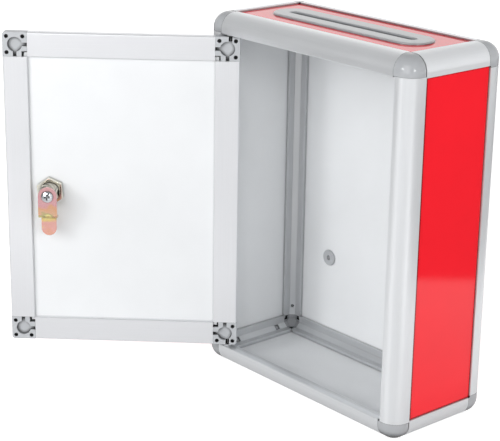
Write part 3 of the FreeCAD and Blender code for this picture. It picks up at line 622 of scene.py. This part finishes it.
def board(name, facing, middle, border_painted_shade=BORDER_PAINTED_SHADE, on_door=False):
    """Two-faced board: facing points outwards, middle is how far along it the middle of the board lies."""
    material, tree, shader, place = start_finish(name, {"Metallic": 0.0, "IOR": 1.5})
    spot = closed_place(tree, place) if on_door else place
    outside = math_node(tree, "GREATER_THAN", distance_along(tree, spot, facing), middle)
    fade = remap(tree, noise(tree, spot, FADE_SCALE), *NOISE_SPREAD, *FADE)
    # Painted shade at the board's borders, paler on the white face.
    closed = mix_value(tree, outside, INSIDE_CLOSED, BORDER_CLOSED)
    dark = mix_value(tree, outside, INSIDE_PAINTED_SHADE, border_painted_shade)
    shade = product(tree, fade, painted_crevice_shade(tree, BORDER_REACH, closed, dark))
    # The side boards' film gets a painted shade and reflection beside the front posts' lips.
    if facing[0]:
        shade = product(tree, shade, mix_value(tree, outside, 1.0, painted_lip_reflection(tree, place)))
    shade_into(tree, shade, mix_colour(tree, "MIX", outside, WHITE, RED), shader["Base Color"])
    film = smudged_gloss(tree, spot, FILM_ROUGHNESS)
    satin = smudged_gloss(tree, spot, SATIN_ROUGHNESS)
    tree.links.new(mix_value(tree, outside, satin, film), shader["Roughness"])
    bump_into(tree, noise(tree, spot, PEEL_SCALE, detail=2.0), PEEL_BUMP, shader["Normal"])
    return material


print("boards are red", RED[:3], "outside and white", WHITE[:3], "inside")

# %% [markdown]
# A table says which way each board faces and where the middle of its thickness lies along that direction.
# The top board's film is seen at a flat angle, where a painted dark border would grow too wide, so its
# border's painted shade is paler.

# %% Boards in place
SIDE_MIDDLE = 0.12475
BACK_MIDDLE = 0.05375
BOTTOM_MIDDLE = 0.00375
TOP_MIDDLE = 0.33625
# Paler painted shade for the top board's border.
TOP_BORDER_PAINTED_SHADE = 0.60
DOOR_FRONT = 0.0571
DOOR_BOARD_DEPTH = 0.0045
BOARDS = {
    "left_panel": {"facing": (-1, 0, 0), "middle": SIDE_MIDDLE},
    "right_panel": {"facing": (1, 0, 0), "middle": SIDE_MIDDLE},
    "back_panel": {"facing": (0, 1, 0), "middle": BACK_MIDDLE},
    "bottom_panel": {"facing": (0, 0, -1), "middle": -BOTTOM_MIDDLE},
    "top_panel": {"facing": (0, 0, 1), "middle": TOP_MIDDLE, "border_painted_shade": TOP_BORDER_PAINTED_SHADE},
    "door_panel": {"facing": (0, -1, 0), "middle": DOOR_FRONT - DOOR_BOARD_DEPTH, "on_door": True},
}
for name, layout in BOARDS.items():
    dress([name], board(name + "_board", **layout))
print("boards:", list(BOARDS))

# %% [markdown]
# The lock is plated. Its barrel, nut and plug are nickel, a warm grey mirror that is slightly dulled, and
# the screw is chrome. The hinge pins, the latch keeper and its screws are plain bright steel. All are full
# metals, so one function makes them from a colour and a range of roughness.

# %% Plated metal
PLATE_PEBBLES = 900.0
PLATE_DEPTH = 0.25
PLATE_BUMP = (0.05, 0.00005)
# Painted shade in the plating's crevices.
PLATE_PAINTED_SHADE = {"reach": 0.005, "closed": 0.30, "dark": 0.03}
NICKEL_COLOUR = (0.96, 0.92, 0.81, 1.0)


def plated_metal(name, colour, roughness):
    """Bright plating: metal with a slightly uneven skin, dulling smudges and painted shade in crevices."""
    material, tree, shader, place = start_finish(name, {"Metallic": 1.0})
    skin_inputs = {"Place": place, "Pebbles": PLATE_PEBBLES, "Depth": PLATE_DEPTH}
    skin = use_group(tree, MOULDED_SKIN, skin_inputs)
    shade = product(tree, skin["Shade"], painted_crevice_shade(tree, **PLATE_PAINTED_SHADE))
    shade_into(tree, shade, colour, shader["Base Color"])
    tree.links.new(smudged_gloss(tree, place, roughness), shader["Roughness"])
    bump_into(tree, skin["Height"], PLATE_BUMP, shader["Normal"])
    return material


nickel = plated_metal("nickel", NICKEL_COLOUR, roughness=(0.05, 0.14))
chrome = plated_metal("chrome", grey(0.85, COOL), roughness=(0.06, 0.14))
bright_steel = plated_metal("bright_steel", grey(0.66), roughness=(0.18, 0.30))
dress(["lock_barrel", "lock_nut", "lock_plug"], nickel)
dress(["cam_screw"], chrome)
dress(["bottom_hinge_pin", "top_hinge_pin", "latch_keeper", "keeper_screws"], bright_steel)
print("plated finishes:", nickel.name, chrome.name, bright_steel.name)

# %% [markdown]
# The cam is zinc plated and passivated, which gives the pink, orange and yellow clouds seen on new
# hardware. The film is thicker where the liquid ran off last, under the bend. A thin-film shader could
# compute such colours, but a colour ramp that runs up the cam as it hangs is easier to match. Slow
# noise lets the colours drift, and the metal itself stays fairly smooth.

# %% Yellow zinc
ZINC_TINTS = (
    (0.00, (0.66, 0.44, 0.36)),
    (0.12, (0.80, 0.42, 0.32)),
    (0.24, (0.80, 0.44, 0.40)),
    (0.31, (0.82, 0.62, 0.25)),
    (0.37, (0.86, 0.78, 0.36)),
    (0.41, (0.56, 0.50, 0.26)),
    (0.47, (0.80, 0.50, 0.34)),
    (0.56, (0.82, 0.46, 0.28)),
    (0.66, (0.80, 0.44, 0.46)),
    (1.00, (0.82, 0.50, 0.50)),
)
ZINC_DRIFT = 0.22
ZINC_DRIFT_SCALE = 110.0
ZINC_GRAIN_SCALE = 1400.0
ZINC_BUMP = (0.06, 0.00005)
ZINC_ROUGHNESS = (0.20, 0.32)
ZINC_PAINTED_SHADE = {"reach": 0.004, "closed": 0.40, "dark": 0.12}


def zinc_plate(name):
    """Passivated zinc: a ramp of pale rainbow colours up the hanging cam, drifting with slow noise."""
    material, tree, shader, place = start_finish(name, {"Metallic": 1.0})
    low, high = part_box("lock_cam")
    height = remap(tree, distance_along(tree, place, UP), low[2], high[2], 0.0, 1.0)
    clouds = noise(tree, place, ZINC_DRIFT_SCALE, detail=1.0)
    drift = remap(tree, clouds, *NOISE_SPREAD, -ZINC_DRIFT / 2, ZINC_DRIFT / 2)
    ramp = put(tree, "ShaderNodeValToRGB", None, {"Fac": math_node(tree, "ADD", height, drift)})
    while len(ramp.color_ramp.elements) < len(ZINC_TINTS):
        ramp.color_ramp.elements.new(0.5)
    for element, (position, tint) in zip(ramp.color_ramp.elements, ZINC_TINTS):
        element.position = position
        element.color = tint + (1.0,)
    # Painted shade darkens the zinc's colour in crevices.
    shade_into(tree, painted_crevice_shade(tree, **ZINC_PAINTED_SHADE), ramp.outputs["Color"], shader["Base Color"])
    tree.links.new(smudged_gloss(tree, place, ZINC_ROUGHNESS), shader["Roughness"])
    bump_into(tree, noise(tree, place, ZINC_GRAIN_SCALE, detail=2.0), ZINC_BUMP, shader["Normal"])
    return material


dress(["lock_cam"], zinc_plate("yellow_zinc"))
print("cam finish: yellow_zinc with", len(ZINC_TINTS), "tints")

# %% [markdown]
# The barrel of the lock is the one piece that is worth rebuilding. On the solid the thread is a stack of
# rings; on a real lock it is one groove that climbs round the barrel, and two flats keep the lock from
# turning in its hole. The new barrel is easiest to work out with the door closed, where the lock's axis
# runs straight back. So the solids of the barrel and of the door's board are turned back about the hinge
# and measured there.

# %% Measuring on the closed door
def turn_about_hinge(points, angle):
    """Points turned about the upright line through the hinge."""
    cosine, sine = math.cos(angle), math.sin(angle)
    turn = np.array([[cosine, -sine, 0.0], [sine, cosine, 0.0], [0.0, 0.0, 1.0]])
    return (points - HINGE_PLACE) @ turn.T + HINGE_PLACE


def closed_box(name):
    """Lowest and highest corner of a door solid with the door closed."""
    mesh = nodes[name].data
    flat = np.empty(3 * len(mesh.vertices))
    mesh.vertices.foreach_get("co", flat)
    points = turn_about_hinge(flat.reshape(-1, 3), DOOR_ANGLE)
    return points.min(axis=0), points.max(axis=0)


barrel_low, barrel_high = closed_box("lock_barrel")
panel_low, panel_high = closed_box("door_panel")
barrel_middle = (barrel_low + barrel_high) / 2
head_radius = (barrel_high[0] - barrel_low[0]) / 2
barrel_depths = [round(corner[1], 4) for corner in (barrel_low, barrel_high)]
print("barrel depths", barrel_depths, "head radius", round(head_radius, 4))

# %% [markdown]
# A barrel is turned on a lathe, so its mesh is a surface of revolution: a closed profile that is carried
# round the axis. The profile goes from the bore over the rounded rim of the head, through the door's
# board, along the thread and back to the bore. Where the thread is, rows lie close together, so that a
# groove has room to show.

# %% Barrel profile
BARREL_RADIUS = 0.0090
BARREL_BORE = 0.00605
HEAD_ROUND = 0.0008
RIM_STEPS = 6
END_BEVEL = 0.0006
THREAD_PITCH = 0.00125
ROWS_PER_TURN = 8


def barrel_profile():
    """Closed profile as rows of depth and radius, with a mark for the rows that the groove may cut."""
    front, back = barrel_low[1], barrel_high[1]
    corner = np.linspace(0.0, math.pi / 2, RIM_STEPS)
    rim_depth = front + HEAD_ROUND * (1 - np.cos(corner))
    rim_radius = head_radius - HEAD_ROUND * (1 - np.sin(corner))
    thread_start = panel_high[1]
    thread_end = back - END_BEVEL
    count = int((thread_end - thread_start) / THREAD_PITCH * ROWS_PER_TURN)
    thread_depth = np.linspace(thread_start, thread_end, count)
    depth = np.concatenate([[front], rim_depth, [panel_low[1], panel_low[1]], thread_depth, [back, back]])
    radius = np.concatenate(
        [
            [BARREL_BORE],
            rim_radius,
            [head_radius, BARREL_RADIUS],
            np.full(count, BARREL_RADIUS),
            [BARREL_RADIUS - END_BEVEL, BARREL_BORE],
        ]
    )
    # The cut starts with the barrel's first row, inside the board, and leaves its last row full.
    first_cut = len(rim_depth) + 2
    cut = np.zeros(len(depth), bool)
    cut[first_cut : first_cut + count] = True
    return depth, radius, cut


profile = barrel_profile()
print("barrel profile:", len(profile[0]), "rows,", int(profile[2].sum()), "with a groove")

# %% [markdown]
# A screw modifier could wind the groove, but it would leave open ends. Here the radius of the thread rows
# falls and rises with the depth and the angle together, which makes the rings of the grid one helix. The
# two flats are cut with it: no point of the barrel may lie further to the side than half the width across
# the flats.

# %% Threaded barrel
BARREL_HALF_FLAT = 0.0080
BARREL_SEGMENTS = 96
THREAD_DEPTH = 0.0005
SHARP_DEGREES = 25.0
TINY = 1e-6


def threaded_barrel(depth, radius, cut):
    """Profile turned about the axis. Cut rows lose the thread's depth times a triangle wave of depth over
    pitch minus angle over a full turn. The barrel's rows stay within half the width across the flats over
    the cosine of the angle."""
    angle = np.linspace(0.0, 2 * math.pi, BARREL_SEGMENTS, endpoint=False)
    phase = (depth[:, None] / THREAD_PITCH - angle[None, :] / (2 * math.pi)) % 1.0
    groove = THREAD_DEPTH * (1 - np.abs(2 * phase - 1))
    reach = radius[:, None] - np.where(cut[:, None], groove, 0.0)
    flat_reach = BARREL_HALF_FLAT / np.maximum(np.abs(np.cos(angle)), TINY)
    on_barrel = (depth > panel_low[1] - TINY) & (radius < head_radius - TINY)
    reach = np.where(on_barrel[:, None], np.minimum(reach, flat_reach[None, :]), reach)
    x = barrel_middle[0] + reach * np.cos(angle)
    y = np.broadcast_to(depth[:, None], x.shape)
    z = barrel_middle[2] + reach * np.sin(angle)
    return np.stack([x, y, z], axis=-1)


def ring_faces(rows, columns):
    """Four-cornered faces of a grid that closes on itself both ways."""
    index = np.arange(rows * columns).reshape(rows, columns)
    next_row = np.roll(index, -1, axis=0)
    next_column = np.roll(index, -1, axis=1)
    far = np.roll(next_row, -1, axis=1)
    return np.stack([index, next_column, far, next_row], axis=-1).reshape(-1, 4)


def make_piece(name, grid, finish):
    """Mesh object from a closed grid of places, smooth apart from its sharp edges."""
    rows, columns = grid.shape[:2]
    mesh = bpy.data.meshes.new(name)
    mesh.from_pydata(grid.reshape(-1, 3).tolist(), [], ring_faces(rows, columns).tolist())
    mesh.shade_smooth()
    mesh.set_sharp_from_angle(angle=math.radians(SHARP_DEGREES))
    mesh.materials.append(finish)
    piece = bpy.data.objects.new(name, mesh)
    bpy.context.collection.objects.link(piece)
    return piece


closed_grid = threaded_barrel(*profile)
open_grid = turn_about_hinge(closed_grid.reshape(-1, 3), -DOOR_ANGLE).reshape(closed_grid.shape)
barrel_piece = make_piece("threaded_barrel", open_grid, nickel)
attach(barrel_piece, "door")
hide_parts("lock_barrel")
print("threaded barrel:", len(barrel_piece.data.polygons), "faces")

# %% [markdown]
# What the shiny pieces mirror matters as much as the light on them. The lower part of the red side board
# is paler, with an edge across it: it mirrors a pale table, and the part above mirrors the dark gap behind
# the table's edge. The right front post shows two upright bright bands, which look like the lamps' streaks
# on that table. A modelled room could give all this, but only mirrors would see it, so the floor's
# material paints it from the place, with painted streaks of lamp light and a painted shadow beside the box.

# %% Table in the mirrors
# A brightness of 1 is white. Pairs are the start and the end of a change, mostly in metres from the middle.
TABLE_NEAR = 0.72
TABLE_FAR = 0.12
TABLE_FAR_SIDE = (-0.76, -0.65, 0.0)
TABLE_FADE = (0.25, 1.05)
TABLE_EDGE_SIDE = (0.757, 0.654, 0.0)
TABLE_EDGE = (0.462, 0.487)
TABLE_RIGHT = (0.12, 0.40)
TABLE_RIGHT_GAIN = 1.65
ROOM_GAP_END = (1.60, 1.90)
ROOM_SHADE = 0.22
# Painted streaks of lamp light on the table, seen only by mirrors.
STREAKS = ((-17.0, 1.0), (75.0, 0.65))
STREAK_COSINES = (0.960, 0.996)
STREAK_REACH = (0.15, 0.90)
STREAK_GAIN = (0.35, 0.85)
# Painted shadow of the box on the table: its reach and its darkest value.
CONTACT_REACH = 0.06
CONTACT_PAINTED_SHADOW = 0.75


def painted_contact_shadow(tree, place):
    """Painted shadow of the box on the table that mirrors see: darkest at its foot and 1 beyond the reach.
    """
    feet = [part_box(name) for name in balls if "bottom" in name]
    parts = put(tree, "ShaderNodeSeparateXYZ", None, {0: place}).outputs
    gaps = []
    for axis in (SIDEWAYS, LENGTHWAYS):
        half = max(high[axis] for low, high in feet)
        gaps.append(math_node(tree, "SUBTRACT", math_node(tree, "ABSOLUTE", parts[axis]), half))
    return remap(tree, math_node(tree, "MAXIMUM", *gaps), 0.0, CONTACT_REACH, CONTACT_PAINTED_SHADOW, 1.0)


def painted_lamp_streaks(tree, place):
    """Painted light: the streaks that the lamps draw on a glossy table, seen only by mirrors. Each runs
    from the foot of the right front post in its own direction and gains with the distance."""
    low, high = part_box("right_front_post")
    foot = ((low[0] + high[0]) / 2, (low[1] + high[1]) / 2, solid_box[0][2])
    from_foot = vector_node(tree, "SUBTRACT", place, foot)["Vector"]
    heading = vector_node(tree, "NORMALIZE", from_foot)["Vector"]
    streaks = []
    for degrees, share in STREAKS:
        to_lamp = looking_axes(math.radians(degrees), 0.0, 0.0)[2].tolist()
        cosine = distance_along(tree, heading, to_lamp)
        streaks.append(remap(tree, cosine, *STREAK_COSINES, 0.0, share))
    distance = vector_node(tree, "LENGTH", from_foot)["Value"]
    gain = remap(tree, distance, *STREAK_REACH, *STREAK_GAIN)
    return product(tree, gain, math_node(tree, "ADD", *streaks))


def mirrored_table(tree):
    """Brightness of the floor in a mirror: a table that fades to the front left and brightens to the back
    right, a dark gap past its edge there, the painted streaks of lamp light and the painted shadow beside
    the box."""
    place = put(tree, "ShaderNodeTexCoord").outputs["Object"]
    fading = remap(tree, distance_along(tree, place, TABLE_FAR_SIDE), *TABLE_FADE, TABLE_NEAR, TABLE_FAR)
    away = distance_along(tree, place, TABLE_EDGE_SIDE)
    table = product(tree, fading, remap(tree, away, *TABLE_RIGHT, 1.0, TABLE_RIGHT_GAIN))
    past_edge = remap(tree, away, *TABLE_EDGE, 0.0, 1.0)
    gap = product(tree, past_edge, remap(tree, away, *ROOM_GAP_END, 1.0, 0.0))
    room = mix_value(tree, gap, table, ROOM_SHADE)
    lit_room = math_node(tree, "ADD", room, painted_lamp_streaks(tree, place))
    return product(tree, lit_room, painted_contact_shadow(tree, place))


print("table edge", TABLE_EDGE[0], "m from the middle, streaks towards", dict(STREAKS))

# %% [markdown]
# The studio is plain: a wide pale floor, a white world and soft lamps. The floor is matte and keeps the
# shadow of the box. For the camera's rays it also gives out some light of its own, so that it comes out as
# white as the background without more light on the box. A Light Path node tells the kinds of ray apart.

# %% Floor
FLOOR_HALF = 12.0
FLOOR_COLOUR = grey(0.75)
FLOOR_LIFT = 0.78


def ray_kinds(tree):
    """1 for a camera ray, and 1 for a ray that left a mirror or passed through glass."""
    path = put(tree, "ShaderNodeLightPath").outputs
    by_mirror = math_node(tree, "MAXIMUM", path["Is Glossy Ray"], path["Is Transmission Ray"])
    return path["Is Camera Ray"], by_mirror


def floor_finish():
    """Matte with a lift for the camera, and the room's table for mirrors."""
    material = bpy.data.materials.new("floor")
    material.use_nodes = True
    tree = material.node_tree
    tree.nodes.clear()
    by_camera, by_mirror = ray_kinds(tree)
    matte = put(tree, "ShaderNodeBsdfDiffuse", None, {"Color": FLOOR_COLOUR}).outputs[0]
    lift_strength = product(tree, by_camera, FLOOR_LIFT)
    lift = put(tree, "ShaderNodeEmission", None, {"Strength": lift_strength}).outputs[0]
    seen = put(tree, "ShaderNodeAddShader", None, {0: matte, 1: lift}).outputs[0]
    mirrored = put(tree, "ShaderNodeEmission", None, {"Strength": mirrored_table(tree)}).outputs[0]
    both = put(tree, "ShaderNodeMixShader", None, {0: by_mirror, 1: seen, 2: mirrored}).outputs[0]
    put(tree, "ShaderNodeOutputMaterial", None, {"Surface": both})
    return material


def make_floor(height):
    """Square floor at a height."""
    mesh = bpy.data.meshes.new("floor")
    corners = np.array([(-1, -1), (1, -1), (1, 1), (-1, 1)]) * FLOOR_HALF
    mesh.from_pydata(np.column_stack([corners, np.full(4, height)]).tolist(), [], [(0, 1, 2, 3)])
    mesh.materials.append(floor_finish())
    floor = bpy.data.objects.new("floor", mesh)
    bpy.context.collection.objects.link(floor)


make_floor(solid_box[0][2])
print("floor at", round(solid_box[0][2], 4))

# %% [markdown]
# The world lights the box from the sides and less from above, as low soft boxes do, most from behind on
# the right and least from the camera's side. For mirrors it has a bright backdrop behind the box, a duller
# room in front of it, a darker ceiling, and a dark patch where the camera and its stand would be, which
# puts the black glints on the lock. Photographs of a studio could be wrapped round instead, but a few
# formulas on the direction are enough.

# %% World
# A strength of 1 is white. Pairs are the start and the end of a change along a direction of length 1.
FILL_SIDES = 1.52
FILL_ABOVE = 0.12
FILL_TURN = (0.12, 0.68)
FILL_CAMERA = 0.32
FILL_CAMERA_EDGE = (0.60, 0.95)
WALL_SIDE = (0.80, 0.60, 0.0)
WALL_TURN = (-0.10, 0.80)
WALL_GAIN = 1.95
ROOM_FRONT = 0.25
BACKDROP = 1.25
ROOM_TURN = (-0.60, 0.60)
BACKDROP_RIGHT = 0.74
CEILING = 0.60
CEILING_START = (0.30, 0.75)
CAMERA_PATCH = 0.12
CAMERA_PATCH_EDGE = (0.86, 0.95)


def world_fill(tree, height, to_wall, to_camera):
    """Light on the box: weak from above, stronger from the wall's side, weaker from the camera's side."""
    fill = remap(tree, height, *FILL_TURN, FILL_SIDES, FILL_ABOVE)
    wall = remap(tree, to_wall, *WALL_TURN, 1.0, WALL_GAIN)
    camera_side = remap(tree, to_camera, *FILL_CAMERA_EDGE, 1.0, FILL_CAMERA)
    return product(tree, fill, wall, camera_side)


def mirrored_room(tree, depth, height, to_wall, to_camera):
    """Brightness of the room in a mirror: bright at the back, duller to the right and above, with a dark
    patch towards the camera."""
    room = remap(tree, depth, *ROOM_TURN, ROOM_FRONT, BACKDROP)
    right = remap(tree, to_wall, *WALL_TURN, 1.0, BACKDROP_RIGHT)
    ceiling = remap(tree, height, *CEILING_START, 1.0, CEILING)
    patch = remap(tree, to_camera, *CAMERA_PATCH_EDGE, 1.0, CAMERA_PATCH)
    return product(tree, room, right, ceiling, patch)


def make_world():
    """Fill for the light on the box, the room for mirrors and white for the camera."""
    world = bpy.data.worlds.new("studio")
    world.use_nodes = True
    tree = world.node_tree
    tree.nodes.clear()
    by_camera, by_mirror = ray_kinds(tree)
    direction = put(tree, "ShaderNodeTexCoord").outputs["Generated"]
    parts = put(tree, "ShaderNodeSeparateXYZ", None, {0: direction}).outputs
    to_wall = distance_along(tree, direction, WALL_SIDE)
    to_camera = distance_along(tree, direction, view_axes[2].tolist())
    fill = world_fill(tree, parts["Z"], to_wall, to_camera)
    mirrored = mirrored_room(tree, parts["Y"], parts["Z"], to_wall, to_camera)
    lit = mix_value(tree, by_mirror, fill, mirrored)
    strength = mix_value(tree, by_camera, lit, 1.0)
    background = put(tree, "ShaderNodeBackground", None, {"Color": grey(1.0), "Strength": strength})
    put(tree, "ShaderNodeOutputWorld", None, {"Surface": background.outputs[0]})
    bpy.context.scene.world = world


make_world()
print("world fill", FILL_SIDES, "to", FILL_ABOVE)

# %% [markdown]
# Two small bright spots on each corner ball show where the real lamps stood, one in front of the doorway
# and one beside the red board. Point lamps would make the spots too hard and the shadows too sharp, so
# both are small square soft boxes. A third, much wider box of light in front fills the inside of the case.

# %% Lamps
# Angles are in degrees, distance and size in metres, power in watts.
LAMPS = {
    "front_lamp": {"azimuth": -9.0, "elevation": 20.0, "distance": 2.4, "size": 0.43, "power": 7.2},
    "side_lamp": {"azimuth": 71.0, "elevation": 18.0, "distance": 2.4, "size": 0.46, "power": 8.0},
    "fill_box": {"azimuth": 16.0, "elevation": 22.0, "distance": 2.6, "size": 2.2, "power": 33.2},
}


def make_lamp(name, azimuth, elevation, distance, size, power):
    """Square soft lamp that looks at the middle of the box. Azimuth counts from the front to the right."""
    data = bpy.data.lights.new(name, "AREA")
    data.shape = "SQUARE"
    data.size = size
    data.energy = power
    lamp = bpy.data.objects.new(name, data)
    axes = looking_axes(math.radians(azimuth), math.radians(elevation), 0.0)
    middle = np.array([0.0, 0.0, np.mean([corner[2] for corner in solid_box])])
    lamp.matrix_world = looking_from((middle + axes[2] * distance).tolist(), axes)
    bpy.context.collection.objects.link(lamp)


for name, layout in LAMPS.items():
    make_lamp(name, **layout)
print("lamps:", [light.name for light in bpy.data.lights])

# %% [markdown]
# The last cell prints how many pieces were dressed.

# %% Count the pieces
print("pieces dressed:", len(nodes))
